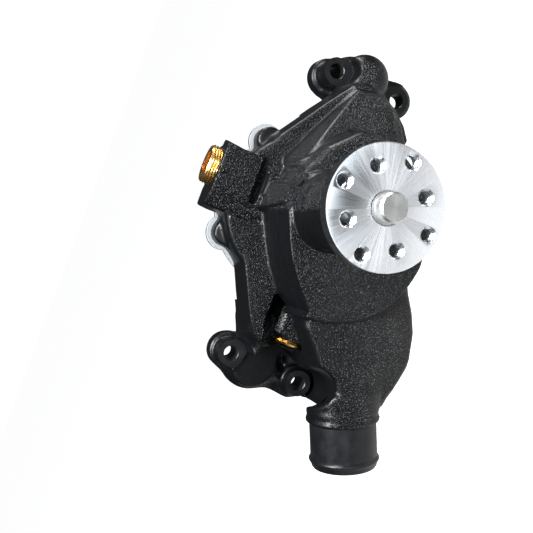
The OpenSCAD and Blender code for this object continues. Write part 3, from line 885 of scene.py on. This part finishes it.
def shaft_cuts():
    """Milled back and nose, and the bores round the shaft axis from the back to the front."""
    cuts = [slab_cutter("foot_mill", -30, 0, MILLED),
        slab_cutter("nose_mill", SNOUT_FRONT, SNOUT_FRONT + 30, PAINTED)]
    for name, back, front, radius, steps in (
            ("rear_mill", -10, REAR_FACE, COVER_R + LOBE_R + 4, 128),
            ("cavity", 0, CAVITY_TOP, CAVITY_R, 128),
            ("eye", 20, CAVITY_TOP + 11, EYE_R, 96),
            ("seal_bore", 50, 80, SEAL_BORE_R, 96),
            ("shaft_bore", 70, 120, SHAFT_BORE_R, 96)):
        cuts.append(bar(name, 0, 0, back, front, radius, PAINTED, steps))
    mouth = SNOUT_FRONT + 2.2
    cuts.append(bar("bearing_bore", 0, 0, RACE_BACK, mouth, RACE_R + GAP, PAINTED, 128, chamfer=2.6))
    return cuts


def bolt_and_port_holes():
    """Everything drilled from the front of the bosses or the back of the feet."""
    cuts = []
    for x, z, height in BOSSES:
        cuts.append(bar("spot_face", x, z, height, height + 20, BOSS_R + 1.2))
        cuts.append(bar("bolt_hole", x, z, -5, height + 0.4, BOLT_HOLE_R, chamfer=1.0))
    for side in (-1, 1):
        cuts.append(bar("outlet", *PORTS[side], -5, PORT_DEPTH, OUTLET_R, PAINTED, 96))
        cuts.append(bar("bypass_hole", *BYPASS_HOLES[side], -5, PORT_DEPTH, BYPASS_HOLE_R))
    for x, z in SCREW_SPOTS:
        cuts.append(bar("screw_hole", x, z, 10, REAR_FACE + 9, SCREW_R + GAP))
    return cuts


def plug_ports():
    """Holes for the two pipe plugs, opening out at the mouth, and the weep hole over the shaft."""
    cuts = []
    for start, direction, depth in (
            (place(HEATER_X, HEATER_TOP - HEATER_DEPTH, HEATER_F), HEATER_WAY, HEATER_DEPTH),
            (place(BYPASS_FACE + BYPASS_DEPTH, BYPASS_Z, BYPASS_F), BYPASS_WAY, BYPASS_DEPTH)):
        mouth = [(0, 0), (PLUG_R + GAP, 0), (PLUG_R + GAP, depth - 1.2), (PLUG_R + 1.8, depth + 0.6),
            (PLUG_R + 1.8, depth + 6), (0, depth + 6)]
        cuts.append(lathe("plug_port", mouth, start, direction, 96, PAINTED))
    weep = [(0, 0), (2.5, 0), (2.5, 40), (0, 40)]
    cuts.append(lathe("weep_hole", weep, place(9, 8, 100), (0, 0, 1), 32, PAINTED))
    return cuts


def machine(piece):
    """Adds the neck, and cuts everything that is machined after the casting."""
    combine(piece, neck_tube(), "UNION")
    for cut in neck_bores() + shaft_cuts() + bolt_and_port_holes() + plug_ports():
        combine(piece, cut, "DIFFERENCE")


def housing():
    piece = sand_casting()
    machine(piece)
    shade(piece, by_material=True)
    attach(piece, "pump_body")
    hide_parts("housing")


# ---------------------------------------------------------------- turned and threaded parts
def threaded(name, start, direction, length, radius, pitch, depth, steps=64, material_index=0):
    """Closed rod with a V thread cut round it as a true helix."""
    per_turn = 8
    count = int(length / pitch * per_turn) + 2
    profile = [(0, 0)] + [(radius, length * i / (count - 1)) for i in range(count)] + [(0, length)]

    def groove(turn, height):
        phase = (height / pitch - turn / (2 * math.pi)) % 1.0
        fade = min(1.0, max(0.0, height / pitch)) * min(1.0, (length - height) / pitch + 0.35)
        return -depth * fade * (1 - abs(2 * phase - 1)) ** 0.8

    return lathe(name, profile, start, direction, steps, material_index, groove)


def prism(name, start, direction, sides, across_flats, length, spin):
    """Straight bar with a regular polygon as its end."""
    radius = across_flats / 2 / math.cos(math.pi / sides)
    piece = lathe(name, [(0, 0), (radius, 0), (radius, length), (0, length)], start, direction, sides)
    turned = Matrix.Rotation(spin, 4, Vector(direction))
    piece.data.transform(Matrix.Translation(start) @ turned @ Matrix.Translation(-Vector(start)))
    return piece


def finish(piece, node, body):
    shade(piece, 30)
    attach(piece, body)
    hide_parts(node)


def hub_disc(neck_end):
    """Turned hub: a flat disc in front of a thick neck, bored to clear the shaft's tip."""
    seat = TIP_R + 0.62
    back, front = HUB_BACK, HUB_FRONT
    profile = [(seat + 0.6, back), (HUB_NECK_R - 0.8, back), (HUB_NECK_R, back + 0.8),
        (HUB_NECK_R, neck_end - 1.6), (HUB_NECK_R + 0.5, neck_end - 0.5), (HUB_NECK_R + 1.6, neck_end),
        (HUB_R - 0.7, neck_end), (HUB_R, neck_end + 0.7), (HUB_R, front - 0.9),
        (HUB_R - 0.25, front - 0.25), (HUB_R - 0.9, front), (seat + 0.75, front),
        (seat, front - 0.9), (seat, back + 0.6)]
    return paint(lathe("hub_disc", profile, place(0, 0, 0), FRONT, 192), HUB_METAL, HOLE_METAL)


def pulley_hub():
    neck_end = HUB_FRONT - HUB_T
    piece = hub_disc(neck_end)
    for circle, turn in HUB_CIRCLES:
        for i in range(4):
            at = math.radians(turn + 90 * i)
            x, z = circle * math.cos(at), circle * math.sin(at)
            thread = threaded("tapping", place(x, z, neck_end - 2), FRONT, HUB_T + 4, HUB_HOLE_R + 0.75,
                pitch=1.06, depth=0.62, steps=48, material_index=1)
            combine(piece, thread, "DIFFERENCE")
            for mouth, way in ((HUB_FRONT, 1), (neck_end, -1)):
                inside, outside = -1.3 * way, 0.55 * way
                cone = [(0, inside), (HUB_HOLE_R - 0.1, inside), (HUB_HOLE_R + 1.75, outside), (0, outside)]
                combine(piece, lathe("mouth", cone, place(x, z, mouth), FRONT, 64, 1), "DIFFERENCE")
    finish(piece, "pulley_hub", "rotor")


def pipe_plug(name, mouth, direction, out, body_node):
    """Square-socket pipe plug. mouth is on the face of its port, and direction points out of it."""
    length, socket_size, socket_depth, socket_turn = 16, 12.7, 8, math.radians(57)
    way = Vector(direction)
    start = mouth + way * (out - length) * MM
    piece = threaded(name, start, direction, length, PLUG_R - GAP, pitch=1.81, depth=0.95, steps=96)
    paint(piece, BRASS)
    past, chamfer = length + 0.2, length - 1.2
    ring = [(PLUG_R - 1.5, past), (PLUG_R - 0.4, chamfer), (PLUG_R + 2, chamfer), (PLUG_R + 2, past)]
    combine(piece, lathe("end_chamfer", ring, start, direction, 96), "DIFFERENCE")
    floor = start + way * (length - socket_depth) * MM
    socket = prism("socket", floor, direction, 4, socket_size, socket_depth + 2, socket_turn)
    combine(piece, socket, "DIFFERENCE")
    lead = [(0, length - 1.4), (5.6, length - 1.4), (7.6, past), (0, past)]
    combine(piece, lathe("socket_mouth", lead, start, direction, 64), "DIFFERENCE")
    finish(piece, body_node, "pump_body")


def cover_screw(x, z, spin):
    """Flanged hexagon screw with a crowned, dished head and a threaded shank."""
    back = Vector((0, 1, 0))
    seat = place(x, z, COVER_BACK_FACE)
    hexagon_size, head_height, shank_length = 9.5, 4.3, 11.2
    flange = [(0, 0), (6.4, 0), (6.4, 0.6), (5.4, 1.2), (4.2, 1.25), (0, 1.25)]
    head = paint(lathe("screw", flange, seat, back, 48), ZINC_SCREW)
    hexagon = prism("hexagon", seat + back * 0.5 * MM, back, 6, hexagon_size, 3.5, spin)
    combine(head, hexagon, "UNION")
    crown = [(7.5, 3.3), (5.0, head_height), (7.5, head_height)]
    combine(head, lathe("crown", crown, seat, back, 48), "DIFFERENCE")
    dish = [(0, 3.6), (2.6, head_height), (0, head_height)]
    combine(head, lathe("dish", dish, seat, back, 32), "DIFFERENCE")
    start = seat - back * 10.8 * MM
    shank = threaded("shank", start, back, shank_length, SCREW_R - GAP, pitch=1.27, depth=0.7, steps=32)
    combine(head, shank, "UNION")
    return head


def cover_screws():
    """The rear cover's six screws, in one piece as in the CAD."""
    heads = [cover_screw(x, z, i * 0.7) for i, (x, z) in enumerate(SCREW_SPOTS)]
    whole = heads[0]
    for head in heads[1:]:
        combine(whole, head, "UNION")
    whole.name = "cover_screw_set"
    finish(whole, "cover_screws", "pump_body")


# ---------------------------------------------------------------- carried-over CAD nodes
CAD_FINISH = {
    "rear_cover": ZINC, "cover_gasket": PAPER, "driver_block_gasket": PAPER, "passenger_block_gasket": PAPER,
    "pump_shaft": SHAFT_STEEL, "bearing_outer_race": BEARING_STEEL,
    "front_bearing_balls": BEARING_STEEL, "front_ball_cage": CAGE,
    "rear_bearing_rollers": BEARING_STEEL, "rear_roller_cage": CAGE,
    "front_bearing_seal": RUBBER, "rear_bearing_seal": RUBBER, "slinger_ring": RUBBER,
    "seal_cup": BRASS, "seal_bellows": RUBBER, "seal_spring": SPRING_STEEL, "seal_face_ring": CARBON,
    "seal_seat": CERAMIC, "seal_seat_boot": RUBBER, "impeller": BARE_IRON,
}
BEVELS = {"rear_cover": 0.8, "impeller": 0.6, "pump_shaft": 0.2}
SMALL_BEVEL = 0.15


def finish_cad_nodes():
    for node, material in CAD_FINISH.items():
        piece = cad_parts[node]
        piece.data.materials.clear()
        piece.data.materials.append(material)
        soft = piece.modifiers.new("soft_edges", "BEVEL")
        soft.width = BEVELS.get(node, SMALL_BEVEL) * MM
        soft.segments = 2
        soft.limit_method = "ANGLE"
        soft.angle_limit = math.radians(40)


# ---------------------------------------------------------------- stage
# Camera place in metres, and its right, up and back directions
CAMERA_AT = (-0.06937, -0.50374, 0.14755)
CAMERA_RIGHT = (0.34692, -0.2599, -0.90117)
CAMERA_UP = (0.93785, 0.08611, 0.3362)
CAMERA_BACK = (-0.00978, -0.96179, 0.27362)
# Direction of the pale panel, which flat front faces mirror to the camera
PANEL_SIDE = (0.01, -0.96, -0.27)
FLOOR_Z = -0.45


def pale_floor():
    bm = bmesh.new()
    bmesh.ops.create_grid(bm, x_segments=1, y_segments=1, size=20)
    made = bpy.data.meshes.new("floor")
    bm.to_mesh(made)
    bm.free()
    floor = mesh_object("floor", made)
    floor.location = (0, 0, FLOOR_Z)
    n = Nodes("pale_floor", Roughness=0.9, Specular_IOR_Level=0.1)
    seen = n.add("ShaderNodeLightPath").outputs["Is Camera Ray"]
    n.set(Emission_Strength=n.times(seen, 0.95), Emission_Color=grey(1.0))
    paint(floor, n.set(Base_Color=n.mix(n.noise(3, 3), grey(0.42), grey(0.46))))


def studio_world():
    """White to the camera. To everything else, a dim room with one broad pale panel."""
    world = bpy.data.worlds.new("studio")
    world.use_nodes = True
    tree = world.node_tree
    room = tree.nodes["Background"]
    room.inputs["Color"].default_value = (0.89, 0.95, 1.0, 1)
    towards = tree.nodes.new("ShaderNodeVectorMath")
    towards.operation = "DOT_PRODUCT"
    towards.inputs[1].default_value = PANEL_SIDE
    tree.links.new(tree.nodes.new("ShaderNodeTexCoord").outputs["Generated"], towards.inputs[0])
    walls = tree.nodes.new("ShaderNodeMapRange")
    walls.interpolation_type = "SMOOTHSTEP"
    for key, value in (("From Min", 0.66), ("From Max", 0.92), ("To Min", 0.035), ("To Max", 2.7)):
        walls.inputs[key].default_value = value
    tree.links.new(towards.outputs["Value"], walls.inputs["Value"])
    tree.links.new(walls.outputs["Result"], room.inputs["Strength"])
    backdrop = tree.nodes.new("ShaderNodeBackground")
    backdrop.inputs["Color"].default_value = grey(1.0)
    backdrop.inputs["Strength"].default_value = 1.0
    seen = tree.nodes.new("ShaderNodeMixShader")
    tree.links.new(tree.nodes.new("ShaderNodeLightPath").outputs["Is Camera Ray"], seen.inputs[0])
    tree.links.new(room.outputs[0], seen.inputs[1])
    tree.links.new(backdrop.outputs[0], seen.inputs[2])
    tree.links.new(seen.outputs[0], tree.nodes["World Output"].inputs[0])
    bpy.context.scene.world = world
    bpy.context.scene.view_settings.view_transform = "Standard"


def softbox(name, at, target, size, power):
    light = bpy.data.lights.new(name, "AREA")
    light.shape = "RECTANGLE"
    light.size, light.size_y = size
    light.energy = power
    lamp = bpy.data.objects.new(name, light)
    bpy.context.scene.collection.objects.link(lamp)
    lamp.location = at
    lamp.rotation_mode = "QUATERNION"
    lamp.rotation_quaternion = (Vector(target) - Vector(at)).to_track_quat("-Z", "Y")


def lights():
    """Soft boxes round the pump, placed along the camera's own directions."""
    middle = Vector((0, -0.09, -0.01))
    right, up, back = Vector(CAMERA_RIGHT), Vector(CAMERA_UP), Vector(CAMERA_BACK)
    for name, across, above, front, size, power in (
            ("left_box", -0.7, 0.16, 0.7, (0.8, 0.35), 48),
            ("right_box", 0.9, -0.45, 0.05, (0.7, 0.25), 8),
            ("top_box", -0.15, 0.95, 0.1, (0.7, 0.3), 10)):
        softbox(name, middle + right * across + up * above + back * front, middle, size, power)


def camera():
    data = bpy.data.cameras.new("camera")
    data.lens = 47.61
    data.shift_x, data.shift_y = 0.0403, 0.0529
    data.clip_start, data.clip_end = 0.01, 50
    eye = bpy.data.objects.new("camera", data)
    bpy.context.scene.collection.objects.link(eye)
    turn = Matrix([CAMERA_RIGHT, CAMERA_UP, CAMERA_BACK]).transposed()
    eye.matrix_world = Matrix.Translation(CAMERA_AT) @ turn.to_4x4()
    bpy.context.scene.camera = eye


camera()
pale_floor()
studio_world()
lights()
housing()
pulley_hub()
heater_mouth = place(HEATER_X, HEATER_TOP, HEATER_F)
pipe_plug("heater_plug", heater_mouth, HEATER_WAY, HEATER_END - HEATER_TOP, "heater_port_plug")
bypass_mouth = place(BYPASS_FACE, BYPASS_Z, BYPASS_F)
pipe_plug("bypass_plug", bypass_mouth, BYPASS_WAY, BYPASS_OUT, "bypass_port_plug")
cover_screws()
finish_cad_nodes()
